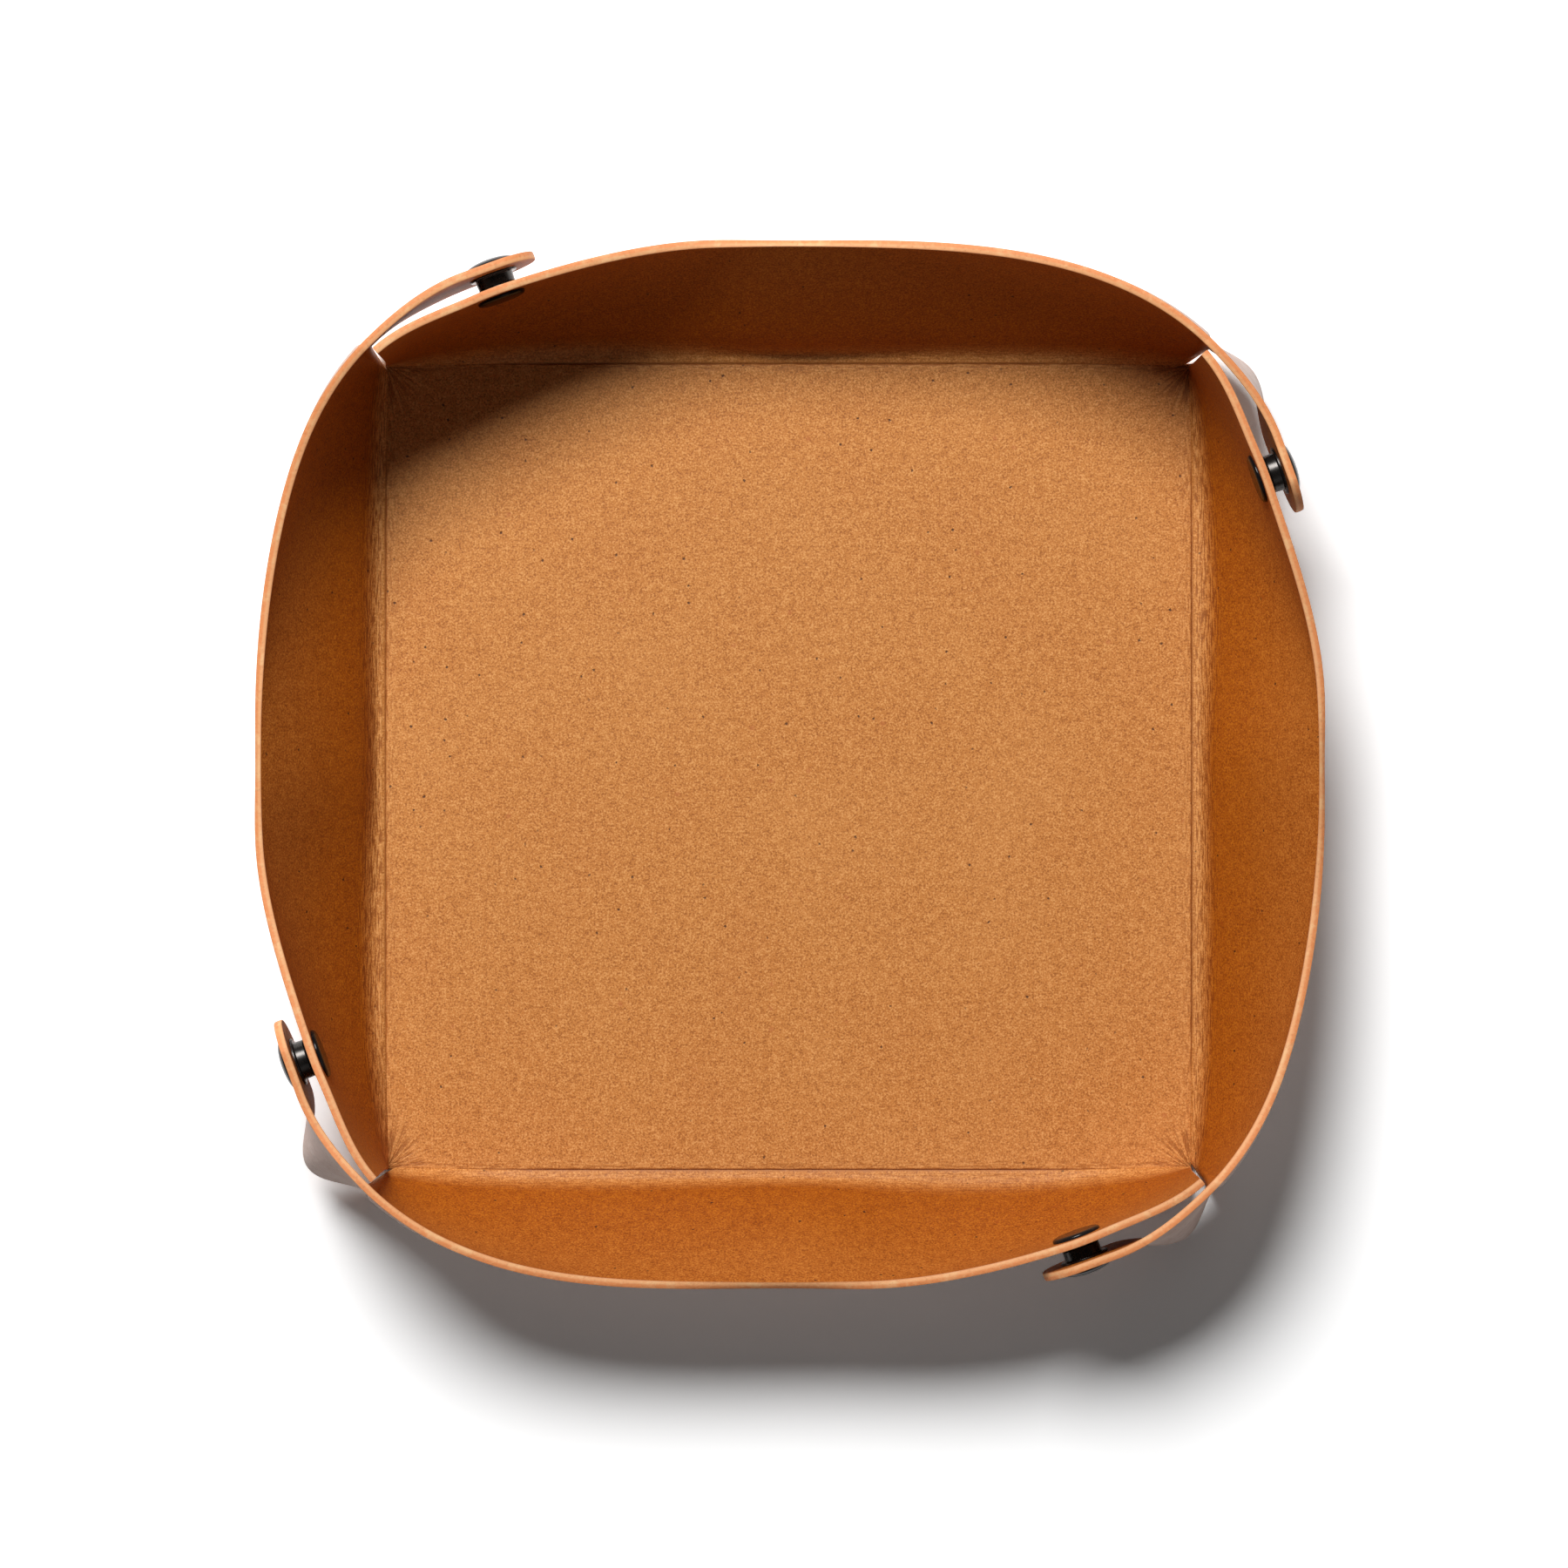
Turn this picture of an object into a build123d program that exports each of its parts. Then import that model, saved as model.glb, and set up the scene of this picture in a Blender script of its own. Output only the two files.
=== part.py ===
# Valet tray: one leather sheet folded into four walls, held by a snap fastener at each corner.
# The origin is at the middle of the tray's underside, +Z up, +Y towards the north wall. Millimetres.
# Everything is drawn once for the north side and its start corner, and turned to the other sides.

from build123d import *
from math import atan2, cos, degrees, log, radians, sin, sqrt
import os

os.makedirs("parts", exist_ok=True)

# Driving dimensions of the folded sheet
base_side = 205.0  # from fold to fold across the floor
leather = 2.0  # thickness of the sheet
wall_slant = 46.0  # from the fold to the rim, measured up the leather
side_lean = 26.4  # how far the middle of a side's rim lies outside its fold
corner_lean = 1.14311  # how far the rim's corner lies outside the corner of the folds
start_curl = 3.2  # exponent by which the wall curls up near its start, over a straight slope
end_curl = 1.3  # and near its end
end_belly = 3.5  # how far the wall bellies out past its rim, near the corner bend
start_inset = 2.6  # how far a wall's start lies inside the rim's line, behind the tab
start_flat = 3.0  # how much further the rim is drawn in at the snap, where it runs nearly straight
start_belly = 1.5  # how far the wall bellies out past its rim, below the snap
start_gap = 0.9  # from the corner of the folds to the wall's start edge
fold_swell = 0.1  # the leather thickens by this at a fold
fold_play = 0.1  # air between the folded leather and what it sweeps past
bend_play = 0.35  # the same at the corner bends
bend_setback = 2.0  # the bend's full round stops this far short of the leather's edges

# The lower edge of the sheet where it leaves the fold and wraps the corner
corner_lift = 6.0  # height of the lower edge at the corner bend
corner_bulge = 4.9  # how far the lower edge at the corner bend lies outside the rim's corner
lift_start_angle = 43.3  # where the lower edge leaves the fold, from the wall's middle

# Where the rim's inset, its straight run beside the snap and the end's belly come and go, as angles
# from the wall's middle
inset_full_angle = -40.0
inset_end_angle = -6.0
flat_start_angle = -46.0
flat_full_angle = -34.0
flat_last_angle = -30.0
flat_end_angle = -16.0
belly_start_angle = 24.0
belly_full_angle = 42.0

# Snap fastener
cap_diameter = 12.5
cap_dome = 1.7  # height of the domed cap over the leather
cap_rim = 0.7  # height of the cap's upright edge
cap_bevel = 0.4  # between the upright edge and the dome
cap_shank_diameter = 3.6
socket_flange_diameter = 12.0
socket_flange = 0.8  # thickness
socket_body_diameter = 9.4
socket_bore_diameter = 8.3
socket_floor = 0.6  # thickness of the socket's floor inside its body
mouth_chamfer = 0.25
clench_diameter = 5.2  # where the cap's shank is spread over the socket's floor
clench_height = 0.45
spring_wire = 0.6  # side of its square section
spring_opening = 40.0  # angle left open in the ring spring
spring_play = 0.05
stud_flange_diameter = 11.2
stud_flange = 0.6
stud_neck_diameter = 3.7
stud_neck = 0.5  # height
stud_head_diameter = 4.4
stud_head = 1.3  # height of the rounded head over its neck
stud_widest_share = 0.3  # how far up the head it is widest
post_diameter = 12.3
post_dome = 1.0  # height of the flat, round-edged disc on the inside of the wall
post_edge = 0.45  # its bevelled edge
post_shank_diameter = 2.6
post_hole_diameter = 2.7
shank_hole_diameter = 3.7
snap_gap = 3.6  # between the two sheets of leather at the snap
snap_bite = 0.25  # how deep a flange is pressed into the leather
stud_to_socket = 0.15  # air between the closed socket and the stud's flange
snap_angle = -31.4  # place along the wall, as an angle from its middle
snap_below_rim = 10.4

# Tab
tab_end_radius = 11.0
tab_flat = 7.0  # the tab is flat this far before the snap
tab_reach = 15.0  # its sheet goes this far past the snap, before it is cut round
tab_skirt = 28.0  # the sheet hangs this far below the snap, before it is cut
tab_foot_rise = 1.5  # the tab's lower edge meets the bend this far above the sheet's
tab_strip = 3.0  # straight lower edge beside the snap
skirt_shares = (0.55, 0.6)  # where the lower edge's curve is held, as shares of the way to the bend
overrun = 30.0  # how far a cutting shape runs past what it cuts
sheet_tolerance_share = 0.02  # how closely the sheet follows its formula, as a share of its thickness

side_names = ["north", "east", "south", "west"]
corner_names = ["nw", "ne", "se", "sw"]
side_turn = -90.0
corner_angle = 45.0

fold_half = base_side / 2
rim_half = fold_half + side_lean
rim_corner = sqrt(2) * fold_half + corner_lean
corner_belly = rim_corner + corner_bulge
fold_radius = leather / 2 + fold_swell
fold_height = fold_radius
relief_radius = sqrt(2) * leather / 2 + fold_play
bend_relief_radius = sqrt(2) * leather / 2 + bend_play
rim_power = log(2) / log(rim_half * sqrt(2) / rim_corner)
start_angle = -degrees(atan2(fold_half - start_gap, fold_half))


def eased(value, low, high):
    """Smooth step from 0 at low to 1 at high."""
    share = min(max((value - low) / (high - low), 0), 1)
    return share * share * (3 - 2 * share)


def radial_point(angle, radius, height):
    """A point in the upright plane through the centre, turned clockwise from the north wall's middle."""
    return Vector(radius * sin(radians(angle)), radius * cos(radians(angle)), height)


def beside_snap(angle):
    """1 where the snap sits, falling to 0 towards the wall's start edge and its middle."""
    begun = eased(angle, flat_start_angle, flat_full_angle)
    return begun * (1 - eased(angle, flat_last_angle, flat_end_angle))


def rim_radius(angle):
    """Distance of the rim from the centre: a squared circle, drawn in at the wall's start and the snap."""
    s, c = abs(sin(radians(angle))), abs(cos(radians(angle)))
    plain = rim_half / (s**rim_power + c**rim_power) ** (1 / rim_power)
    inset = start_inset * (1 - eased(angle, inset_full_angle, inset_end_angle))
    return plain - inset - start_flat * beside_snap(angle)


def fold_radius_at(angle):
    """Distance of the straight fold from the centre."""
    return fold_half / cos(radians(angle))


def rim_height(angle):
    """The rim dips where the wall leans out, because the leather keeps its width."""
    flare = rim_radius(angle) * cos(radians(angle)) - fold_half
    return fold_height + sqrt(wall_slant**2 - flare**2)


def wall_point(angle, share):
    """A point of the wall's middle surface: share goes from 0 at its lower edge to 1 at the rim."""
    lift = eased(angle, lift_start_angle, corner_angle)
    low_radius = fold_radius_at(angle) + lift * (corner_belly - fold_radius_at(corner_angle))
    low_height = fold_height + lift * (corner_lift - fold_height)
    side_curl = start_curl if angle < 0 else end_curl
    curl = 1 + side_curl * sin(radians(2 * angle)) ** 2 * (1 - lift)
    belly = end_belly * eased(angle, belly_start_angle, belly_full_angle) * (1 - lift)
    belly += start_belly * beside_snap(angle)
    belly *= 4 * share * (1 - share)
    radius = low_radius + (rim_radius(angle) - low_radius) * (1 - (1 - share) ** curl) + belly
    return radial_point(angle, radius, low_height + (rim_height(angle) - low_height) * share)


def turned(point, sides):
    """The same point on the side that lies so many sides clockwise."""
    return point.rotate(Axis.Z, side_turn * sides)


# The snap's place: square to the wall's middle surface, near its start
snap_share = 1 - snap_below_rim / (rim_height(snap_angle) - fold_height)
snap_centre = wall_point(snap_angle, snap_share)
near_angle, near_share = 0.5, 0.02  # a step to a neighbouring point of the surface
snap_along = wall_point(snap_angle + near_angle, snap_share) - snap_centre
snap_up = wall_point(snap_angle, snap_share + near_share) - snap_centre
snap_out = snap_up.cross(snap_along).normalized()
to_corner = Vector(0, 0, 1).cross(snap_out).normalized()
snap_plane = Plane(origin=snap_centre, x_dir=to_corner, z_dir=snap_out)  # x to the corner, y up

# Heights along the snap's axis, from the middle of the wall's leather outwards
wall_inner = -leather / 2
wall_outer = leather / 2
stud_base = wall_outer - snap_bite
stud_top = stud_base + stud_flange
tab_middle = leather + snap_gap
tab_inner = tab_middle - leather / 2
tab_outer = tab_middle + leather / 2
socket_back = tab_inner + snap_bite
socket_step = socket_back - socket_flange
socket_mouth = stud_top + stud_to_socket
cap_back = tab_outer - snap_bite

# The corner bend: a straight line up the leather from the lifted lower edge to the rim
bend_foot = wall_point(corner_angle, 0)
bend_head = wall_point(corner_angle, 1)
bend_length = (bend_head - bend_foot).length
start_foot = turned(bend_foot, -1)
start_head = turned(bend_head, -1)


def bend_rod(foot, head, radius, extra):
    """A rod along a corner bend, running past both of its ends by extra."""
    direction = (head - foot).normalized()
    start = foot - direction * extra
    with BuildPart() as rod:
        with BuildSketch(Plane(origin=start, z_dir=direction)):
            Circle(radius)
        extrude(amount=bend_length + 2 * extra)
    return rod.part


# Floor panel
with BuildPart() as base_panel:
    with BuildSketch():
        Rectangle(base_side, base_side)
    extrude(amount=leather)
    with BuildSketch(Plane.YZ.offset(-fold_half - overrun)):
        with Locations((fold_half, fold_height), (-fold_half, fold_height)):
            Circle(relief_radius)
    extrude(amount=base_side + 2 * overrun, mode=Mode.SUBTRACT)
    with BuildSketch(Plane.XZ.offset(-fold_half - overrun)):
        with Locations((fold_half, fold_height), (-fold_half, fold_height)):
            Circle(relief_radius)
    extrude(amount=base_side + 2 * overrun, mode=Mode.SUBTRACT)
base_panel.part.label = "base_panel"
export_step(base_panel.part, "parts/base_panel.step")

# Snap fastener, each piece turned about the snap's axis
profile_plane = Plane(origin=snap_centre, x_dir=to_corner, z_dir=to_corner.cross(snap_out))
snap_axis = Axis(snap_centre, snap_out)

with BuildPart() as post:
    with BuildSketch(profile_plane):
        with BuildLine():
            post_back = wall_inner + snap_bite
            Polyline(
                (0, post_back - post_dome),
                (post_diameter / 2 - post_edge, post_back - post_dome),
                (post_diameter / 2, post_back - post_dome + post_edge),
                (post_diameter / 2, post_back),
                (post_shank_diameter / 2, post_back),
                (post_shank_diameter / 2, stud_top),
                (0, stud_top),
                close=True,
            )
        make_face()
    revolve(axis=snap_axis)

with BuildPart() as stud:
    with BuildSketch(profile_plane):
        with BuildLine():
            head_foot = stud_top + stud_neck
            widest = (stud_head_diameter / 2, head_foot + stud_head * stud_widest_share)
            Polyline(
                (0, head_foot + stud_head),
                (0, stud_top),
                (post_shank_diameter / 2, stud_top),
                (post_shank_diameter / 2, stud_base),
                (stud_flange_diameter / 2, stud_base),
                (stud_flange_diameter / 2, stud_top),
                (stud_neck_diameter / 2, stud_top),
                (stud_neck_diameter / 2, head_foot),
                widest,
            )
            TangentArc((0, head_foot + stud_head), widest, tangent=(1, 0))
        make_face()
    revolve(axis=snap_axis)

with BuildPart() as socket:
    with BuildSketch(profile_plane):
        with BuildLine():
            Polyline(
                (cap_shank_diameter / 2, socket_back),
                (socket_flange_diameter / 2, socket_back),
                (socket_flange_diameter / 2, socket_step),
                (socket_body_diameter / 2, socket_step),
                (socket_body_diameter / 2, socket_mouth),
                (socket_bore_diameter / 2 + mouth_chamfer, socket_mouth),
                (socket_bore_diameter / 2, socket_mouth + mouth_chamfer),
                (socket_bore_diameter / 2, socket_back - socket_floor),
                (cap_shank_diameter / 2, socket_back - socket_floor),
                close=True,
            )
        make_face()
    revolve(axis=snap_axis)

spring_radius = socket_bore_diameter / 2 - spring_wire / 2 - spring_play
spring_height = socket_mouth + mouth_chamfer + spring_wire
with BuildPart() as ring_spring:
    with BuildSketch(profile_plane):
        with Locations((spring_radius, spring_height)):
            Rectangle(spring_wire, spring_wire)
    revolve(axis=snap_axis, revolution_arc=360 - spring_opening)

with BuildPart() as cap:
    with BuildSketch(profile_plane):
        with BuildLine():
            dome_edge = (cap_diameter / 2 - cap_bevel, cap_back + cap_rim + cap_bevel)
            Polyline(
                (0, cap_back + cap_dome),
                (0, socket_back - socket_floor - clench_height),
                (clench_diameter / 2, socket_back - socket_floor - clench_height),
                (clench_diameter / 2, socket_back - socket_floor),
                (cap_shank_diameter / 2, socket_back - socket_floor),
                (cap_shank_diameter / 2, cap_back),
                (cap_diameter / 2, cap_back),
                (cap_diameter / 2, cap_back + cap_rim),
                dome_edge,
            )
            TangentArc((0, cap_back + cap_dome), dome_edge, tangent=(1, 0))
        make_face()
    revolve(axis=snap_axis)

# Wall: its middle surface, thickened, with a full round along the fold
def smooth_sheet(rows):
    """The thin middle surface through rows of points, which is then thickened to leather."""
    return Face.make_surface_from_array_of_points(
        rows, tol=leather * sheet_tolerance_share, min_deg=3, max_deg=5
    )


angle_steps = 22
height_steps = 7
heights = [j / height_steps for j in range(height_steps + 1)]
wall_span = corner_angle - start_angle
wall_angles = [start_angle + wall_span * i / angle_steps for i in range(angle_steps + 1)]
wall_surface = smooth_sheet([[wall_point(angle, share) for angle in wall_angles] for share in heights])
fold_start = fold_half - start_gap
fold_end = fold_radius_at(lift_start_angle) * sin(radians(lift_start_angle))

with BuildPart() as wall:
    thicken(wall_surface, amount=leather / 2, both=True)
    with BuildSketch(Plane.YZ.offset(-fold_start)):
        with Locations((fold_half, fold_height)):
            Circle(fold_radius)
    extrude(amount=fold_start + fold_end)
    add(bend_rod(bend_foot, bend_head, bend_relief_radius, overrun), mode=Mode.SUBTRACT)
    with BuildSketch(snap_plane.offset(wall_inner - leather)):
        Circle(post_hole_diameter / 2)
    extrude(amount=3 * leather, mode=Mode.SUBTRACT)
    with BuildSketch(snap_plane.offset(stud_base)):
        Circle(stud_flange_diameter / 2)
    extrude(amount=leather, mode=Mode.SUBTRACT)
    with BuildSketch(snap_plane.offset(wall_inner + snap_bite)):
        Circle(post_diameter / 2)
    extrude(amount=-leather, mode=Mode.SUBTRACT)

# Tab: from the corner bend round to the flat that carries the cap and socket
def tab_point(reach, share):
    """A point of the tab's middle surface. Reach 0 to 1 is the bend, and more is the flat in millimetres."""
    foot_level = -tab_skirt
    head_level = snap_below_rim
    level = foot_level + (head_level - foot_level) * share
    flat_start = snap_plane.from_local_coords(Vector(tab_flat, level, tab_middle))
    if reach > 1:
        return flat_start - snap_plane.x_dir * (reach - 1)
    bend = start_foot + (start_head - start_foot) * share
    outward = Vector(bend.X, bend.Y, 0).normalized()
    leaving = Vector(outward.Y, -outward.X, 0)
    handle = (flat_start - bend).length / 3
    a, b = bend + leaving * handle, flat_start + snap_plane.x_dir * handle
    t = reach
    return bend * (1 - t) ** 3 + a * 3 * t * (1 - t) ** 2 + b * 3 * t * t * (1 - t) + flat_start * t**3


bend_steps = 10
flat_steps = 6
reaches = [i / bend_steps for i in range(bend_steps + 1)]
reaches += [1 + (tab_flat + tab_reach) * (i + 1) / flat_steps for i in range(flat_steps)]
tab_surface = smooth_sheet([[tab_point(reach, share) for reach in reaches] for share in heights])

foot_local = snap_plane.to_local_coords(start_foot) + Vector(0, tab_foot_rise, 0)
with BuildPart() as tab:
    thicken(tab_surface, amount=leather / 2, both=True)
    with BuildSketch(snap_plane.offset(tab_middle - overrun)):
        with BuildLine():
            Line((0, overrun), (0, tab_end_radius))
            ThreePointArc((0, tab_end_radius), (-tab_end_radius, 0), (0, -tab_end_radius))
            Line((0, -tab_end_radius), (tab_strip, -tab_end_radius))
            Bezier(
                (tab_strip, -tab_end_radius),
                (foot_local.X * skirt_shares[0], -tab_end_radius),
                (foot_local.X * skirt_shares[1], foot_local.Y),
                (foot_local.X, foot_local.Y),
            )
            Line((foot_local.X, foot_local.Y), (foot_local.X + overrun, foot_local.Y))
            Line((foot_local.X + overrun, foot_local.Y), (foot_local.X + overrun, overrun))
            Line((foot_local.X + overrun, overrun), (0, overrun))
        make_face()
    extrude(amount=2 * overrun, mode=Mode.INTERSECT)
    add(bend_rod(start_foot, start_head, fold_radius, -bend_setback))
    with BuildSketch(snap_plane.offset(tab_inner - leather)):
        Circle(shank_hole_diameter / 2)
    extrude(amount=3 * leather, mode=Mode.SUBTRACT)
    with BuildSketch(snap_plane.offset(socket_back)):
        Circle(socket_flange_diameter / 2)
    extrude(amount=-leather, mode=Mode.SUBTRACT)
    with BuildSketch(snap_plane.offset(cap_back)):
        Circle(cap_diameter / 2)
    extrude(amount=leather, mode=Mode.SUBTRACT)

# Turn every piece to its four places
for i, (side, corner) in enumerate(zip(side_names, corner_names)):
    turn = side_turn * i
    carried = {
        f"wall_{side}": wall,
        f"tab_{side_names[i - 1]}": tab,
        f"snap_cap_{corner}": cap,
        f"snap_socket_{corner}": socket,
        f"snap_spring_{corner}": ring_spring,
        f"snap_stud_{corner}": stud,
        f"snap_post_{corner}": post,
    }
    for name, master in carried.items():
        with BuildPart() as piece:
            add(master.part, rotation=(0, 0, turn))
        piece.part.label = name
        export_step(piece.part, f"parts/{name}.step")

print("rim height at a side's middle", round(rim_height(0), 1), "and at a corner", round(bend_head.Z, 1))
print("snap centre", snap_centre, "outwards", snap_out)
print("corner bend foot", start_foot, "head", start_head)
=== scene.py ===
from math import atan2, cos, degrees, exp, log, pi, radians, sin, sqrt

import bmesh
import bpy
from mathutils import Matrix, Vector

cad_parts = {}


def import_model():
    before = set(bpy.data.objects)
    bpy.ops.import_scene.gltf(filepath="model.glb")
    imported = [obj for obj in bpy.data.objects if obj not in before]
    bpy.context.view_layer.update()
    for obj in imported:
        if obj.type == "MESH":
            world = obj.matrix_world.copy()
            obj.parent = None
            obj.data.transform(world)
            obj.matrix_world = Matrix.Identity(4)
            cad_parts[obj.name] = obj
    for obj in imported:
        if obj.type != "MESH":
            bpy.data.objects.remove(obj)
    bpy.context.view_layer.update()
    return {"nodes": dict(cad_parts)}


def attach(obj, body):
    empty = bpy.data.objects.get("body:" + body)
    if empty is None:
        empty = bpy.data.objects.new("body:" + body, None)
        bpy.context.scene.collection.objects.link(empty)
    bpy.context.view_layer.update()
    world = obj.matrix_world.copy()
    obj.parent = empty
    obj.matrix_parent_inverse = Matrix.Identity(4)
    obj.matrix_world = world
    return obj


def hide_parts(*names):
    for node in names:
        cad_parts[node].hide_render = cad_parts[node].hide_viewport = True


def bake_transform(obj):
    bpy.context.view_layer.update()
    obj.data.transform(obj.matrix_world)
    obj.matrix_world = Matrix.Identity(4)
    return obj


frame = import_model()
scene = bpy.context.scene
mm = 0.001
sides = ["north", "east", "south", "west"]
corners = ["nw", "ne", "se", "sw"]  # corner i is where wall i starts
print("frame loaded:", len(frame["nodes"]), "nodes")


def placed(name, data):
    made = bpy.data.objects.new(name, data)
    scene.collection.objects.link(made)
    return made


# Shader maths: a Wire is one output socket, and an operator on it adds a Math node
class Wire:
    def __init__(self, finish, socket):
        self.finish, self.socket = finish, socket

    def maths(self, operation, first, second):
        return self.finish.node("ShaderNodeMath", {"operation": operation}, {0: first, 1: second})

    def __add__(self, other):
        return self.maths("ADD", self, other)

    def __radd__(self, other):
        return self.maths("ADD", other, self)

    def __sub__(self, other):
        return self.maths("SUBTRACT", self, other)

    def __mul__(self, other):
        return self.maths("MULTIPLY", self, other)


class Finish:
    def __init__(self, name):
        self.material = bpy.data.materials.new(name)
        self.material.use_nodes = True
        self.tree = self.material.node_tree
        self.tree.nodes.clear()

    # Every node comes from here: its type, its settings, then its sockets' values or links
    def node(self, kind, settings={}, sockets={}, out=0):
        made = self.tree.nodes.new(kind)
        for key, value in settings.items():
            setattr(made, key, value)
        for key, value in sockets.items():
            if isinstance(value, Wire):
                self.tree.links.new(value.socket, made.inputs[key])
            else:
                made.inputs[key].default_value = value
        return Wire(self, made.outputs[out]) if len(made.outputs) else None

    def step(self, value, low, high):
        return self.node("ShaderNodeMapRange", {"interpolation_type": "SMOOTHSTEP"},
                         {"Value": value, "From Min": low, "From Max": high})

    def blendColours(self, factor, first, second, mode="MIX"):
        sockets = {0: factor}
        for index, colour in ((6, first), (7, second)):
            sockets[index] = colour if isinstance(colour, Wire) else (*colour, 1)
        return self.node("ShaderNodeMix", {"data_type": "RGBA", "blend_type": mode}, sockets, out=2)

    def noise(self, place, scale, detail=2.0, roughness=0.5):
        return self.node("ShaderNodeTexNoise", {},
                         {"Vector": place, "Scale": scale, "Detail": detail, "Roughness": roughness})

    def stretched(self, place, scale):
        return self.node("ShaderNodeMapping", {}, {"Vector": place, "Scale": scale})

    def place(self):
        return self.node("ShaderNodeTexCoord", out=3)

    def sheetMap(self, name):
        return self.node("ShaderNodeUVMap", {"uv_map": name})

    def axis(self, vector, index):
        return self.node("ShaderNodeSeparateXYZ", {}, {0: vector}, out=index)

    def bump(self, height):
        return self.node("ShaderNodeBump", {}, {"Strength": 1.0, "Distance": 1.0, "Height": height})

    def surface(self, colour, roughness, normal=None, **plain):
        sockets = {"Base Color": colour if isinstance(colour, Wire) else (*colour, 1), "Roughness": roughness}
        sockets.update({key.replace("_", " "): value for key, value in plain.items()})
        if normal is not None:
            sockets["Normal"] = normal
        shader = self.node("ShaderNodeBsdfPrincipled", {}, sockets)
        self.node("ShaderNodeOutputMaterial", {}, {"Surface": shader})
        return self.material


# The smooth face of the leather: fibre flecks, faint clouds, and painted shade that makes the walls a darker,
# deeper orange than the floor
grain = {
    "base": (0.625, 0.233, 0.050),
    "light": (0.850, 0.400, 0.128),
    "dark": (0.370, 0.115, 0.021),
    "speck": (0.085, 0.028, 0.010),
    "ruddy": (0.520, 0.150, 0.040),
    "paintedWallShade": (0.600, 0.365, 0.030),  # painted shade: the walls are darker and a deeper orange than the floor
    "wallShadeStart": (0.0010, 0.0095),
    "wallShadeEnd": (0.012, 0.046),  # and the painted shade eases a little towards the rim
    "wallShadeFade": 0.22,
    "fleckScale": 2100.0,  # per metre
    "softScale": 0.22,  # of the fleck scale
    "fleckShares": (0.80, 0.20),
    "lightLevels": (0.520, 0.60),
    "darkLevels": (0.480, 0.40),
    "fleckStrength": 0.90,
    "fleckDepth": 0.00006,
    "softDepth": 1.3,  # of the fleck depth
    "mottleScale": 26.0,
    "mottleLight": (0.42, 0.76),
    "mottleRuddy": (0.52, 0.22),
    "mottleStrength": 0.10,
    "roughness": 0.56,
    "roughnessRange": 0.30,
}
# Sparse specks: a few of the cells hold one
specks = {
    "scale": 210.0,
    "ragged": 0.10,
    "size": 0.095,
    "core": 0.45,  # of the size
    "chance": (0.30, 0.36),
    "strength": 0.9,
    "ruddySize": (0.20, 0.06),
    "ruddyChance": (0.12, 0.06),
    "ruddyStrength": 0.55,
}
# Wrinkles beside the folds and wrinkles that fan out from the floor's corners, with painted shade in their
# valleys and painted highlight on their ridges, and the pressed line, darkened with painted shade
wrinkles = {
    "depth": 0.00034,
    "reach": 0.0125,  # how far up the wall the fold's wrinkles go
    "fullReach": 0.55,  # of the reach
    "wallEdge": (0.0002, 0.0016),
    "floorReach": (-0.0042, -0.0006),
    "floorEdge": (0.0004, -0.0003),
    "floorStrength": 0.5,
    "coarse": (150, 1400, 1),
    "fine": (260, 1750, 1),
    "shares": (0.30, 0.70),
    "valleyShade": (0.49, 0.43),
    "ridgeHighlight": (0.52, 0.58),
    "ridgeHighlightStrength": 0.75,
    "fan": (10, 85, 1),
    "fanDepth": 1.6,  # of the depth
    "fanReach": 0.017,
    "fanFull": 0.12,  # of the fan's reach
    "fanFoot": (-0.0005, 0.0012),
    "fanValleyShade": (0.50, 0.43),
    "fanRidgeHighlight": (0.52, 0.60),
    "fanRidgeHighlightStrength": 0.55,
    "line": 0.0006,  # half the width of the pressed line in the fold
    "lineCore": 0.3,  # of that half
    "lineShadeStrength": 0.75,
}


def speckMasks(f, place, flecks):
    cells = {"Vector": place, "Scale": specks["scale"]}
    spot = f.node("ShaderNodeTexVoronoi", {"feature": "F1"}, cells)
    chance = f.node("ShaderNodeTexVoronoi", {"feature": "F1"}, cells, out=1)
    chance = f.node("ShaderNodeSeparateColor", {}, {0: chance})
    ragged = spot + (flecks - 0.5) * specks["ragged"]
    speck = f.step(ragged, specks["size"], specks["size"] * specks["core"])
    speck = speck * f.step(chance, *specks["chance"])
    ruddy = f.step(ragged, *specks["ruddySize"]) * f.step(chance, *specks["ruddyChance"])
    return speck, ruddy * specks["ruddyStrength"]


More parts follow.
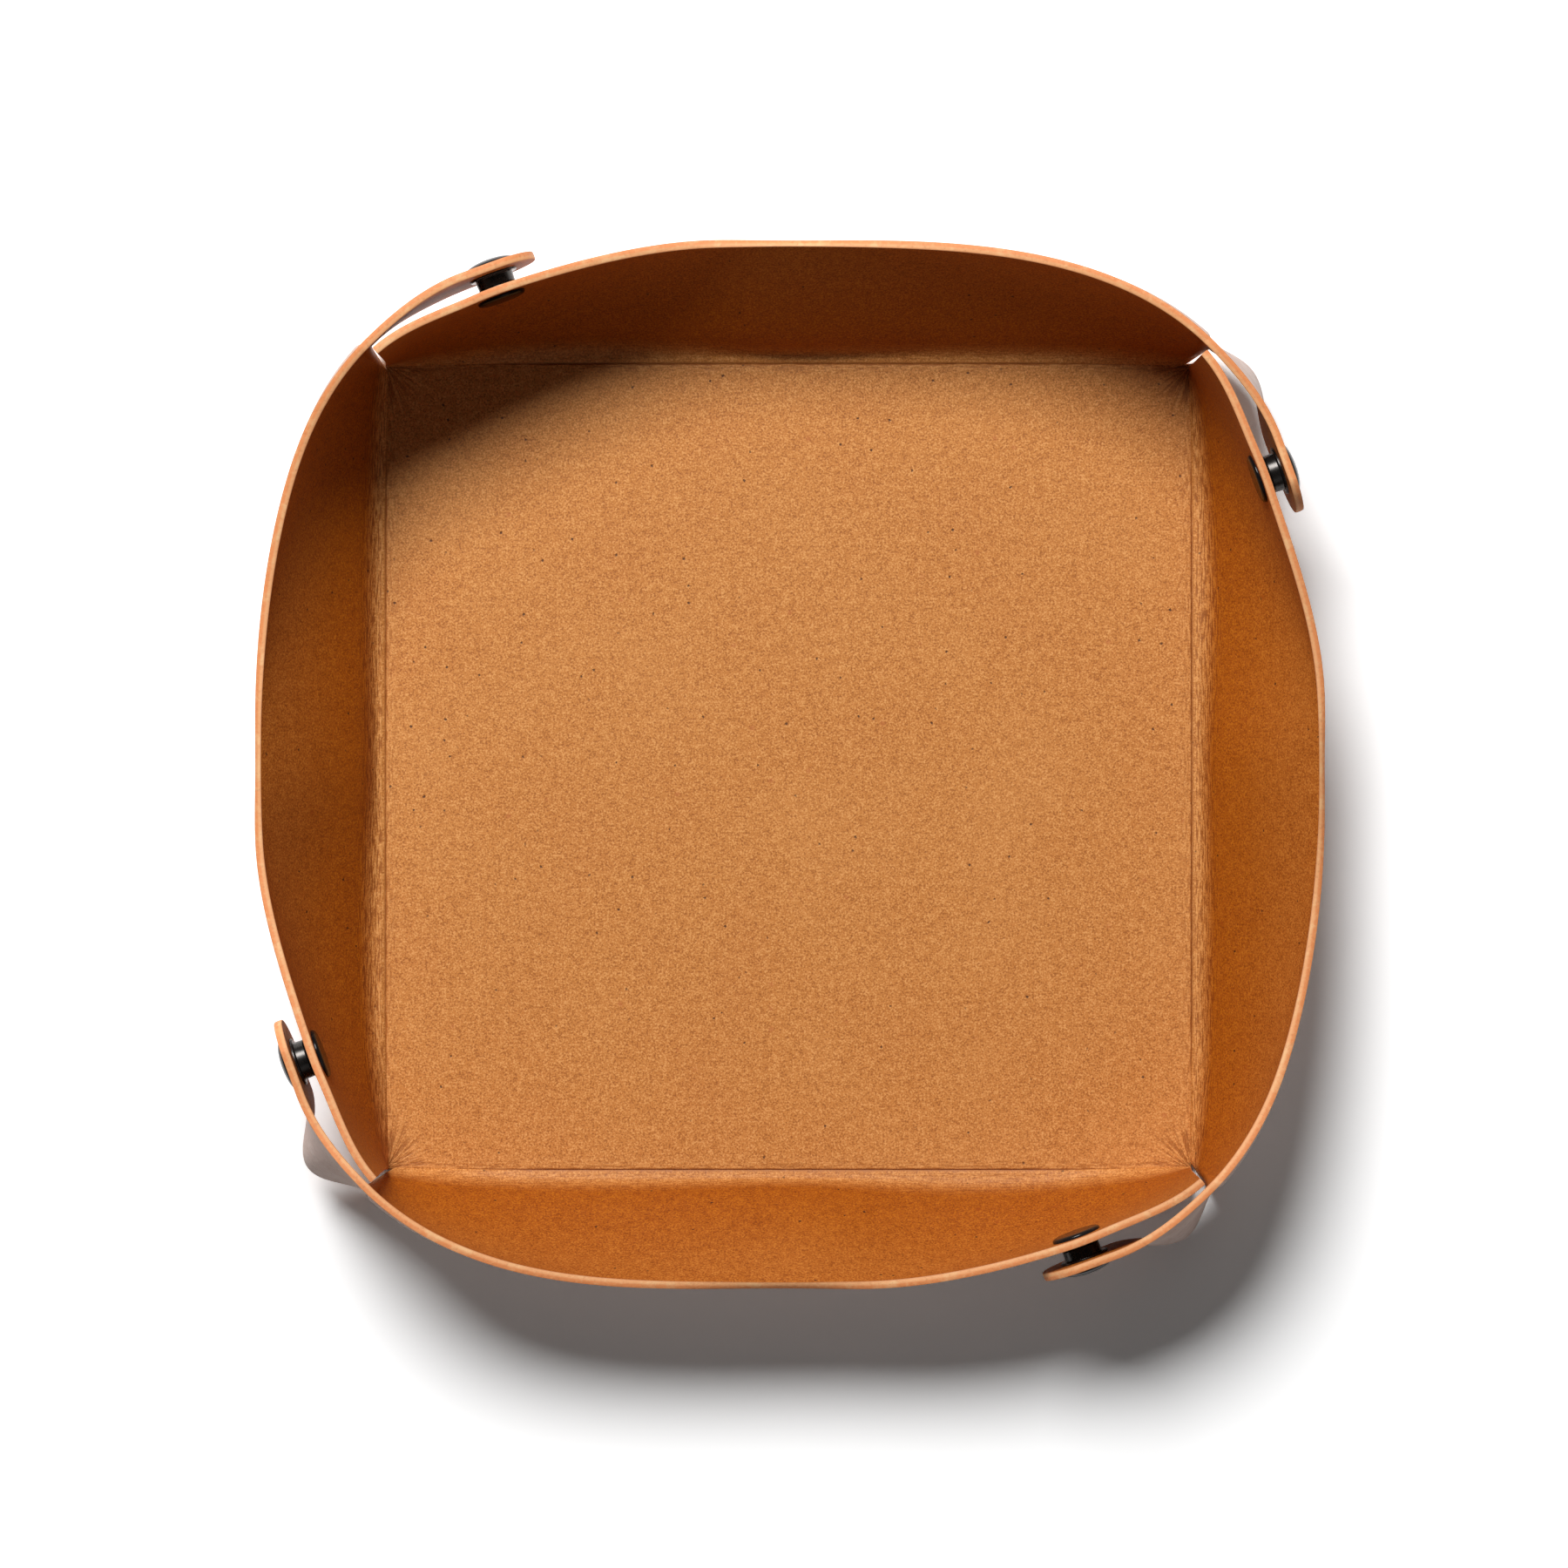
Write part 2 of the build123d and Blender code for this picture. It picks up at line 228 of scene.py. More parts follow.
def wrinkleMasks(f, sheet, across):  # painted shade for the valleys and the pressed line, painted highlight for the ridges, and the heights of both kinds of wrinkle
    w = wrinkles
    band = f.step(across, *w["wallEdge"]) * f.step(across, w["reach"], w["reach"] * w["fullReach"])
    inside = f.step(across, *w["floorReach"]) * f.step(across, *w["floorEdge"]) * w["floorStrength"]
    lines = f.noise(f.stretched(sheet, w["coarse"]), 1.0, 3.0, 0.6) * w["shares"][0]
    lines = lines + f.noise(f.stretched(sheet, w["fine"]), 1.0, 2.0, 0.6) * w["shares"][1]
    corner = f.sheetMap("fan")
    foldMask = band * f.axis(corner, 0) + inside
    fanAway = f.axis(corner, 1)
    fan = f.noise(f.stretched(corner, w["fan"]), 1.0, 3.0, 0.6)
    fanMask = f.step(fanAway, w["fanReach"], w["fanReach"] * w["fanFull"]) * f.step(fanAway, *w["fanFoot"])
    # painted shade in the wrinkles' valleys, painted highlight on their ridges
    valleyShade = f.step(lines, *w["valleyShade"]) * foldMask + f.step(fan, *w["fanValleyShade"]) * fanMask
    ridgeHighlight = f.step(lines, *w["ridgeHighlight"]) * foldMask * w["ridgeHighlightStrength"]
    ridgeHighlight = ridgeHighlight + f.step(fan, *w["fanRidgeHighlight"]) * fanMask * w["fanRidgeHighlightStrength"]
    line, core = w["line"], w["line"] * w["lineCore"]
    pressedLineShade = f.step(across, -line, -core) * f.step(across, line, core)
    height = lines * foldMask * w["depth"], fan * fanMask * (w["depth"] * w["fanDepth"])
    return valleyShade + pressedLineShade * w["lineShadeStrength"], ridgeHighlight, height


def grainLeather():
    f = Finish("kraft_leather_grain")
    place = f.place()
    sheet = f.sheetMap("sheet")
    across = f.axis(sheet, 1)
    flecks = f.noise(place, grain["fleckScale"], 3.0, 0.68)
    soft = f.noise(place, grain["fleckScale"] * grain["softScale"], 3.0, 0.60)
    mottle = f.noise(place, grain["mottleScale"], 3.0, 0.55)
    mixed = flecks * grain["fleckShares"][0] + soft * grain["fleckShares"][1]
    strength, mottled = grain["fleckStrength"], grain["mottleStrength"]
    colour = f.blendColours(f.step(mixed, *grain["lightLevels"]) * strength, grain["base"], grain["light"])
    colour = f.blendColours(f.step(mixed, *grain["darkLevels"]) * strength, colour, grain["dark"])
    colour = f.blendColours(f.step(mottle, *grain["mottleLight"]) * mottled, colour, grain["light"])
    colour = f.blendColours(f.step(mottle, *grain["mottleRuddy"]) * mottled, colour, grain["ruddy"])
    speck, ruddySpot = speckMasks(f, place, flecks)
    colour = f.blendColours(speck * specks["strength"], colour, grain["speck"])
    colour = f.blendColours(ruddySpot, colour, grain["ruddy"])
    valleyShade, ridgeHighlight, (foldHeights, fanHeights) = wrinkleMasks(f, sheet, across)
    # painted shade in the wrinkles' valleys and the fold's pressed line, painted highlight on the ridges
    colour = f.blendColours(valleyShade, colour, grain["dark"])
    colour = f.blendColours(ridgeHighlight, colour, grain["light"])
    # painted shade: up the walls the colour is multiplied by a darker, deeper orange, easing a little towards
    # the rim
    wallShaded = f.blendColours(1.0, colour, grain["paintedWallShade"], "MULTIPLY")
    wallShadeMask = f.step(across, *grain["wallShadeStart"]) - f.step(across, *grain["wallShadeEnd"]) * grain["wallShadeFade"]
    colour = f.blendColours(wallShadeMask, colour, wallShaded)
    height = flecks * grain["fleckDepth"] + soft * (grain["fleckDepth"] * grain["softDepth"])
    height = height + foldHeights + fanHeights - speck * grain["fleckDepth"]
    roughness = grain["roughness"] + (soft - 0.5) * grain["roughnessRange"]
    return f.surface(colour, roughness, f.bump(height), Specular_IOR_Level=0.32)


# The raw back of the leather: short pale nap
back = {
    "base": (0.750, 0.520, 0.430),
    "pale": (0.880, 0.700, 0.620),
    "deep": (0.520, 0.325, 0.245),
    "napScale": 900.0,
    "napDepth": 0.00012,
    "napPale": (0.56, 0.74),
    "paleStrength": 0.45,
    "strands": (260, 260, 1300),
    "deepShares": (0.6, 0.4),
    "deepLevels": (0.50, 0.34),
    "deepStrength": 0.60,
    "cloudScale": 70.0,
    "cloudLevels": (0.38, 0.68),
    "cloudStrength": 0.55,
    "roughness": 0.88,
    "roughnessRange": 0.1,
}


def backLeather():
    f = Finish("leather_back_nap")
    place = f.place()
    nap = f.noise(place, back["napScale"], 3.0, 0.65)
    strands = f.noise(f.stretched(place, back["strands"]), 1.0, 3.0, 0.6)
    cloud = f.noise(place, back["cloudScale"], 3.0, 0.6)
    mixed = nap * back["deepShares"][0] + strands * back["deepShares"][1]
    clouded = f.step(cloud, *back["cloudLevels"]) * back["cloudStrength"]
    colour = f.blendColours(clouded, back["base"], back["pale"])
    colour = f.blendColours(f.step(mixed, *back["deepLevels"]) * back["deepStrength"], colour, back["deep"])
    colour = f.blendColours(f.step(nap, *back["napPale"]) * back["paleStrength"], colour, back["pale"])
    height = nap * back["napDepth"] + strands * back["napDepth"]
    roughness = back["roughness"] + (nap - 0.5) * back["roughnessRange"]
    return f.surface(colour, roughness, f.bump(height),
                     Sheen_Weight=0.18, Sheen_Roughness=0.5, Specular_IOR_Level=0.2)


# The cut edge: an orange core between two skins, with pale streaks along it
cutEdge = {
    "core": (0.880, 0.310, 0.108),
    "pale": (0.970, 0.580, 0.280),
    "skin": (0.560, 0.220, 0.085),
    "grainSkin": (0.16, 0.02),  # 0 is at the grain face, 1 at the back
    "backSkin": (0.90, 0.99),
    "backStrength": 0.6,
    "skinStrength": 0.75,
    "paleCore": (0.62, 0.34),
    "coreStrength": 0.45,
    "streakScale": 210.0,
    "streakLevels": (0.50, 0.68),
    "streakStrength": 0.40,
    "fibreScale": 6,  # of the streak scale
    "fibrePale": (0.52, 0.72),
    "fibreDark": (0.46, 0.30),
    "fibreStrength": 0.35,
    "roughness": 0.62,
    "depth": 0.00008,
}


def edgeLeather():
    f = Finish("leather_cut_edge")
    place = f.place()
    through = f.axis(f.sheetMap("edge"), 1)
    streak = f.noise(place, cutEdge["streakScale"], 3.0, 0.6)
    fibre = f.noise(place, cutEdge["streakScale"] * cutEdge["fibreScale"], 3.0, 0.6)
    skin = f.step(through, *cutEdge["backSkin"]) * cutEdge["backStrength"]
    skin = f.step(through, *cutEdge["grainSkin"]) + skin
    pale = f.step(through, *cutEdge["paleCore"]) * cutEdge["coreStrength"]
    pale = pale + f.step(streak, *cutEdge["streakLevels"]) * cutEdge["streakStrength"]
    strength = cutEdge["fibreStrength"]
    colour = f.blendColours(pale, cutEdge["core"], cutEdge["pale"])
    colour = f.blendColours(f.step(fibre, *cutEdge["fibrePale"]) * strength, colour, cutEdge["pale"])
    colour = f.blendColours(f.step(fibre, *cutEdge["fibreDark"]) * strength, colour, cutEdge["skin"])
    colour = f.blendColours(skin * cutEdge["skinStrength"], colour, cutEdge["skin"])
    height = streak * cutEdge["depth"] + fibre * cutEdge["depth"]
    return f.surface(colour, cutEdge["roughness"], f.bump(height), Specular_IOR_Level=0.35)


# Snap fasteners: black enamel on the cap and post, dark plated steel inside
snapFinish = {
    "enamel": (0.0105, 0.0100, 0.0105),
    "worn": (0.060, 0.055, 0.050),
    "plate": (0.050, 0.046, 0.043),
    "steel": (0.42, 0.40, 0.37),
    "paleSteel": (0.62, 0.60, 0.56),
    "polishScale": 900.0,
    "enamelScales": (320.0, 1800.0),
    "enamelShares": (0.6, 0.4),
    "enamelWorn": (0.56, 0.70),
    "enamelStrength": 0.4,
    "enamelDepth": 0.000006,
    "enamelRoughness": (0.20, 0.16),
    "plateWorn": (0.4, 0.7),
    "plateStrength": 0.5,
    "plateRoughness": (0.28, 0.2),
    "drawn": (400, 400, 2400),
    "steelDepth": 0.00001,
    "steelRoughness": (0.25, 0.15),
}


def blackEnamel():
    f = Finish("black_enamel")
    place = f.place()
    cloud, fine = [f.noise(place, scale, 3.0, 0.6) for scale in snapFinish["enamelScales"]]
    mixed = cloud * snapFinish["enamelShares"][0] + fine * snapFinish["enamelShares"][1]
    worn = f.step(mixed, *snapFinish["enamelWorn"]) * snapFinish["enamelStrength"]
    colour = f.blendColours(worn, snapFinish["enamel"], snapFinish["worn"])
    roughness, change = snapFinish["enamelRoughness"]
    height = fine * snapFinish["enamelDepth"]
    return f.surface(colour, roughness + (cloud - 0.5) * change, f.bump(height), Specular_IOR_Level=0.22)


def darkPlate():
    f = Finish("dark_plated_steel")
    polish = f.noise(f.place(), snapFinish["polishScale"], 3.0, 0.6)
    worn = f.step(polish, *snapFinish["plateWorn"]) * snapFinish["plateStrength"]
    colour = f.blendColours(worn, snapFinish["plate"], snapFinish["worn"])
    roughness, change = snapFinish["plateRoughness"]
    height = polish * snapFinish["steelDepth"]
    return f.surface(colour, roughness + (polish - 0.5) * change, f.bump(height), Metallic=0.9)


def springSteel():
    f = Finish("spring_wire_steel")
    drawn = f.noise(f.stretched(f.place(), snapFinish["drawn"]), 1.0, 2.0, 0.5)
    colour = f.blendColours(drawn, snapFinish["steel"], snapFinish["paleSteel"])
    roughness, change = snapFinish["steelRoughness"]
    height = drawn * snapFinish["steelDepth"]
    return f.surface(colour, roughness + drawn * change, f.bump(height), Metallic=1.0)


leatherFinishes = [grainLeather(), backLeather(), edgeLeather()]
enamel, plate, wireSteel = blackEnamel(), darkPlate(), springSteel()
print("finishes ready")


# The folded sheet, in millimetres and degrees, as in the CAD model but for its bellies, knee and flare
tray = {
    "baseSide": 205.0,
    "leather": 2.0,
    "wallSlant": 46.0,
    "rimHalf": 128.9,
    "rimCorner": 146.1,
    "startCurl": 3.2,
    "endCurl": 1.3,
    "startBelly": 0.9,
    "endBelly": 2.8,
    "startInset": 2.6,
    "startFlat": 3.0,
    "startGap": 0.5,
    "cornerLift": 6.0,
    "cornerBelly": 151.0,
    "liftStartAngle": 44.0,
    "insetAngles": (-40.0, -6.0),
    "flatAngles": (-46.0, -34.0, -30.0, -8.0),
    "bellyAngles": (24.0, 42.0),
    "kneeShare": 0.12,  # how much of the wall curves up from the floor beside the fold
    "kneeStart": (0.25, 16.0),  # that share of the knee at the start edge, and all of it so many degrees on
    "kneeEnd": (0.7, 30.0, 43.0),  # that share of it is lost between these angles
    "creaseDepth": 0.30,
    "creaseSteps": (1.0, 0.25),  # how deep the crease is on the border row and on the one inside it
    "sideFlare": (-0.1, 2.7, -1.0, 2.1),  # each wall's middle leans out by this much more
    "flareAngles": (4.0, 31.0),
    "wrinkled": (0.30, 0.95, 0.40, 1.0),  # how strongly each wall's foot is wrinkled
    "edgeBulge": 0.16,
    "edgeRings": ((0.12, 0.72), (0.5, 1.0), (0.88, 0.72)),  # share through the leather, share of the bulge
    "sharpAngle": 38.0,
    "floorPlay": 0.06,
    "floorCells": 120,
    "floorEdge": 0.0012,
    "wallCells": 170,
    "wallEdge": 0.0015,
    "liftCells": 12,  # close columns where the wall's foot lifts into the corner bend
    "wallRows": 34,
    "rowLimits": (0.015, 0.99),
    "rowPower": 1.25,
    "firstRow": 0.006,
    "sheetShift": 0.3,  # metres between two walls on the wrinkle map
}
cornerAngle = 45.0
foldHalf = tray["baseSide"] / 2
halfSheet = tray["leather"] / 2
foldHeight = 1.1  # the fold's axis, as in the CAD model
rimPower = log(2) / log(tray["rimHalf"] * sqrt(2) / tray["rimCorner"])
startAngle = -degrees(atan2(foldHalf - tray["startGap"], foldHalf))


def eased(value, low, high):
    share = min(max((value - low) / (high - low), 0), 1)
    return share * share * (3 - 2 * share)


def besideSnap(angle):  # 1 where the snap sits, 0 at the wall's start edge and its middle
    first, full, last, end = tray["flatAngles"]
    return eased(angle, first, full) * (1 - eased(angle, last, end))


def rimRadius(angle):
    s, c = abs(sin(radians(angle))), abs(cos(radians(angle)))
    plain = tray["rimHalf"] / (s ** rimPower + c ** rimPower) ** (1 / rimPower)
    inset = tray["startInset"] * (1 - eased(angle, *tray["insetAngles"]))
    return plain - inset - tray["startFlat"] * besideSnap(angle)


# Share is 0 at the fold and 1 at the rim, flare leans the side's middle out, knee curves the wall's foot
def wallPoint(angle, share, flare=0.0, knee=0.0):
    foldAt, foldCorner = foldHalf / cos(radians(angle)), foldHalf / cos(radians(cornerAngle))
    lift = eased(angle, tray["liftStartAngle"], cornerAngle)
    lowRadius = foldAt + lift * (tray["cornerBelly"] - foldCorner)
    lowHeight = halfSheet + lift * (tray["cornerLift"] - halfSheet)
    rim = rimRadius(angle) + flare * (1 - eased(abs(angle), *tray["flareAngles"]))
    leanOut = rim * cos(radians(angle)) - foldHalf
    rimHeight = foldHeight + sqrt(tray["wallSlant"] ** 2 - leanOut ** 2)
    curlHere = tray["startCurl"] if angle < 0 else tray["endCurl"]
    curl = 1 + curlHere * sin(radians(2 * angle)) ** 2 * (1 - lift)
    belly = tray["endBelly"] * eased(angle, *tray["bellyAngles"]) * (1 - lift)
    belly = (belly + tray["startBelly"] * besideSnap(angle)) * 4 * share * (1 - share)
    dip = share * exp(-((share / knee) ** 2)) * (1 - lift) if knee else 0
    atStart, run = tray["kneeStart"]
    lost, low, high = tray["kneeEnd"]
    dip *= atStart + (1 - atStart) * eased(angle, startAngle, startAngle + run)
    dip *= 1 - lost * eased(angle, low, high)
    outward = max(tray["wallSlant"] - curl * (rim - lowRadius), 0)
    radius = lowRadius + (rim - lowRadius) * (1 - (1 - share) ** curl) + belly + outward * dip
    height = lowHeight + (rimHeight - lowHeight) * (share - dip)
    return Vector((radius * sin(radians(angle)), radius * cos(radians(angle)), height))


def turned(point, quarter):  # clockwise by so many quarters
    return Matrix.Rotation(-pi / 2 * quarter, 3, "Z") @ point


# The snap's own plane at the wall's start corner: x to the corner, y up, z outwards
snap = {
    "angle": -31.4,
    "belowRim": 10.4,
    "gap": 3.6,  # between the two layers of leather
    "bite": 0.25,  # how deep the metal presses into the leather
    "angleStep": 0.5,
    "shareStep": 0.02,
}


def snapPlane():
    rim = rimRadius(snap["angle"])
    flare = rim * cos(radians(snap["angle"])) - foldHalf
    share = 1 - snap["belowRim"] / sqrt(tray["wallSlant"] ** 2 - flare ** 2)
    centre = wallPoint(snap["angle"], share)
    along = wallPoint(snap["angle"] + snap["angleStep"], share) - centre
    up = wallPoint(snap["angle"], share + snap["shareStep"]) - centre
    out = up.cross(along).normalized()
    toCorner = Vector((0, 0, 1)).cross(out).normalized()
    return centre, toCorner, out.cross(toCorner), out


snapCentre, toCorner, snapUp, snapOut = snapPlane()


def onSnap(x, y, z):
    return snapCentre + toCorner * x + snapUp * y + snapOut * z


startFoot, startHead = turned(wallPoint(cornerAngle, 0), -1), turned(wallPoint(cornerAngle, 1), -1)
tabMiddle = tray["leather"] + snap["gap"]
bendTangent = Vector((cos(radians(cornerAngle)), -sin(radians(cornerAngle)), 0))
bendNormal = bendTangent.cross(wallPoint(cornerAngle, 1) - wallPoint(cornerAngle, 0)).normalized()


def leatherMesh(name, vertices, faces, kinds, marks):
    mesh = bpy.data.meshes.new(name)
    mesh.from_pydata(vertices, [], faces)
    for finish in leatherFinishes:
        mesh.materials.append(finish)
    mesh.polygons.foreach_set("material_index", kinds)
    maps = [mesh.uv_layers.new(name=title) for title in ("sheet", "fan", "edge")]
    for corner in mesh.loops:
        sheetUv, fanUv, through = marks[corner.vertex_index]
        maps[0].data[corner.index].uv = sheetUv
        maps[1].data[corner.index].uv = fanUv
        maps[2].data[corner.index].uv = (sheetUv[0], through)
    mesh.shade_smooth()
    mesh.set_sharp_from_angle(angle=radians(tray["sharpAngle"]))
    mesh.validate()
    return placed(name, mesh)


# A closed shell of leather round a grid of middle points. Its four borders are "cut" or "seam"
def leatherShell(name, grid, uv, fan, borders, skin=None, bend=None):
    rows, columns = len(grid), len(grid[0])

    def normal(i, j):
        down, up = grid[max(i - 1, 0)][j], grid[min(i + 1, rows - 1)][j]
        left, right = grid[i][max(j - 1, 0)], grid[i][min(j + 1, columns - 1)]
        return (right - left).cross(up - down).normalized()

    normals = [[normal(i, j) for j in range(columns)] for i in range(rows)]
    if bend:  # wall and tab share their normals where they meet
        for row in normals:
            row[bend[0]] = bend[1]
    loop = [(0, j) for j in range(columns)] + [(i, columns - 1) for i in range(1, rows)]
    loop += [(rows - 1, j) for j in range(columns - 2, -1, -1)] + [(i, 0) for i in range(rows - 2, 0, -1)]

    def outwardAt(i, j):
        total = Vector((0, 0, 0))
        for border, on, near in (("low", i == 0, (1, j)), ("high", i == rows - 1, (rows - 2, j)),
                                 ("start", j == 0, (i, 1)), ("end", j == columns - 1, (i, columns - 2))):
            if on and borders[border] == "cut":
                step = grid[i][j] - grid[near[0]][near[1]]
                if step.length > 1e-9:
                    total += step.normalized()
        return total.normalized() * tray["edgeBulge"] if total.length > 1e-6 else total

    vertices, marks = [], []

    def put(i, j, depth, through, fullness=0.0):
        point = grid[i][j] + normals[i][j] * depth
        vertices.append((point + outwardAt(i, j) * fullness if fullness else point) * mm)
        marks.append((uv(i, j), fan(i, j), through))
        return len(vertices) - 1

    half = skin or (lambda i, j: halfSheet)
    inner = [[put(i, j, half(i, j), 0) for j in range(columns)] for i in range(rows)]
    outer = [[put(i, j, -halfSheet, 1) for j in range(columns)] for i in range(rows)]
    rings = [[inner[i][j] for i, j in loop]]
    for through, fullness in tray["edgeRings"]:
        ring = []
        for i, j in loop:
            depth = half(i, j) - (half(i, j) + halfSheet) * through
            ring.append(put(i, j, depth, through, fullness))
        rings.append(ring)
    rings.append([outer[i][j] for i, j in loop])
    faces, kinds = [], []
    for i in range(rows - 1):
        for j in range(columns - 1):
            faces.append((inner[i][j], inner[i][j + 1], inner[i + 1][j + 1], inner[i + 1][j]))
            faces.append((outer[i][j], outer[i + 1][j], outer[i + 1][j + 1], outer[i][j + 1]))
            kinds += [0, 1]
    for upper, lower in zip(rings, rings[1:]):
        for k in range(len(loop)):
            following = (k + 1) % len(loop)
            faces.append((upper[k], lower[k], lower[following], upper[following]))
            kinds.append(2)
    return leatherMesh(name, vertices, faces, kinds, marks)


def spread(count, fine):  # 0 to 1 in even steps, with close steps just inside both ends
    inside = [fine + (1 - 2 * fine) * k / count for k in range(count + 1)]
    return [0.0] + inside + [1.0]


def creased(ring):  # the grain side's height over the sheet's middle, so many rows in from the fold
    steps = tray["creaseSteps"]
    return halfSheet - tray["creaseDepth"] * (steps[ring] if ring < len(steps) else 0.0)


# Floor of the tray: the sheet's square between the folds
def floorPanel():
    reach = foldHalf - tray["floorPlay"]
    places = [reach * (2 * share - 1) for share in spread(tray["floorCells"], tray["floorEdge"])]
    grid = [[Vector((x, y, halfSheet)) for x in places] for y in places]
    last = len(places) - 1

    def sheetUv(i, j):
        x, y = abs(places[j]), abs(places[i])
        return (min(x, y) * mm if x > y else -min(x, y) * mm, (max(x, y) - foldHalf) * mm)

    def fanUv(i, j):
        dx, dy = foldHalf - abs(places[j]), foldHalf - abs(places[i])
        return (atan2(dy, dx + 1e-6), sqrt(dx * dx + dy * dy) * mm)

    def skin(i, j):
        return creased(min(i, j, last - i, last - j))

    borders = {"low": "seam", "high": "seam", "start": "seam", "end": "seam"}
    return leatherShell("leather_floor", grid, sheetUv, fanUv, borders, skin)


def wallPanel(quarter):
    cells = spread(tray["wallCells"], tray["wallEdge"])
    angles = [startAngle + (cornerAngle - startAngle) * share for share in cells]
    lifted, count = cornerAngle - tray["liftStartAngle"], tray["liftCells"]
    angles = sorted(angles + [tray["liftStartAngle"] + lifted * k / count for k in range(count)])
    rows, (first, last) = tray["wallRows"], tray["rowLimits"]
    heights = [first + (last - first) * (k / rows) ** tray["rowPower"] for k in range(rows + 1)]
    heights = [0.0, tray["firstRow"]] + heights + [1.0]
    flare, knee, wrinkled = tray["sideFlare"][quarter], tray["kneeShare"], tray["wrinkled"][quarter]
    flat = [[wallPoint(angle, share, flare, knee) for angle in angles] for share in heights]
    grid = [[turned(point, quarter) for point in row] for row in flat]
    upWall = [[0.0] * len(angles)]
    for i in range(1, len(heights)):
        upWall.append([upWall[i - 1][j] + (flat[i][j] - flat[i - 1][j]).length for j in range(len(angles))])

    def sheetUv(i, j):
        return (flat[0][j].x * mm + tray["sheetShift"] * quarter, upWall[i][j] * mm)

    def fanUv(i, j):  # how wrinkled the wall is, and a place far from the floor's corners
        return (wrinkled, 1.0)

    def skin(i, j):
        return creased(i) if angles[j] < tray["liftStartAngle"] else halfSheet

    borders = {"low": "seam", "high": "cut", "start": "cut", "end": "seam"}
    return leatherShell("leather_wall_" + sides[quarter], grid, sheetUv, fanUv, borders, skin,
                        (-1, turned(bendNormal, quarter)))


# Tab: from the corner bend to the rounded end that carries the snap
tab = {
    "endRadius": 11.0,
    "flat": 7.0,
    "skirt": 28.0,
    "strip": 3.0,
    "skirtShares": (0.55, 0.6),
    "bulge": (0.5, 4.5, 6.5, 9.5),  # how far each tab's foot stands out past its rim, from the north-west on
    "bulgeShape": 0.86,
    "columns": 54,
    "flatColumns": 7,
    "endColumns": 26,
    "endTurn": 89.3,
    "rows": 26,
    "rowEdge": 0.006,
    "sheetRows": (0.05, 0.04),  # where it lies on the wrinkle map, past the fold's wrinkles
    "halvings": 40,
}


def cubic(a, b, c, d, t):
    return a * (1 - t) ** 3 + b * 3 * t * (1 - t) ** 2 + c * 3 * t * t * (1 - t) + d * t ** 3


def lastBefore(isBefore):  # the largest share, 0 to 1, up to which isBefore holds
    low, high = 0.0, 1.0
    for _ in range(tab["halvings"]):
        middle = (low + high) / 2
        low, high = (middle, high) if isBefore(middle) else (low, middle)
    return low


def endHalf(x):  # half the rounded end's height, this far from the snap
    return sqrt(max(tab["endRadius"] ** 2 - x * x, 0))


# Reach is 0 at the bend and 1 where the flat end starts, and goes on in millimetres. Share is 1 at the rim
def tabSurface(reach, share):
    level = -tab["skirt"] + (snap["belowRim"] + tab["skirt"]) * share
    flatStart = onSnap(tab["flat"], level, tabMiddle)
    if reach > 1:
        return flatStart - toCorner * (reach - 1)
    bend = startFoot + (startHead - startFoot) * share
    outward = Vector((bend.x, bend.y, 0)).normalized()
    leaving = Vector((outward.y, -outward.x, 0))
    handle = (flatStart - bend).length / 3
    return cubic(bend, bend + leaving * handle, flatStart + toCorner * handle, flatStart, reach)


def tabOutline(x):  # the lower edge's height in the snap's plane, at this distance towards the corner
    if x <= 0:
        return -endHalf(x)
    if x <= tab["strip"]:
        return -tab["endRadius"]
    footX = (startFoot - snapCentre).dot(toCorner)
    footY = (startFoot - snapCentre).dot(snapUp)
    xs = (tab["strip"], footX * tab["skirtShares"][0], footX * tab["skirtShares"][1], footX)
    t = lastBefore(lambda middle: cubic(*xs, middle) < x)
    return cubic(-tab["endRadius"], -tab["endRadius"], footY, footY, t)


def tabColumn(reach):  # the lowest and the highest share of the tab's surface that is leather
    def overOutline(share):
        point = tabSurface(reach, share) - snapCentre
        return point.dot(snapUp) - tabOutline(point.dot(toCorner))

    low = lastBefore(lambda share: overOutline(share) < 0) if reach > 0 else 0.0
    x = tab["flat"] - (reach - 1)
    if reach <= 1 or x >= 0:
        return low, 1.0
    return low, min(1.0, (endHalf(x) + tab["skirt"]) / (snap["belowRim"] + tab["skirt"]))


def bulged(reach, share, amount):
    chord = onSnap(tab["flat"], 0, tabMiddle) - startFoot
    outward = Vector((-chord.y, chord.x, 0)).normalized()
    rise = (1 - cos(2 * pi * min(reach, 1) ** tab["bulgeShape"])) / 2
    return tabSurface(reach, share) + outward * (amount * rise * (1 - share))


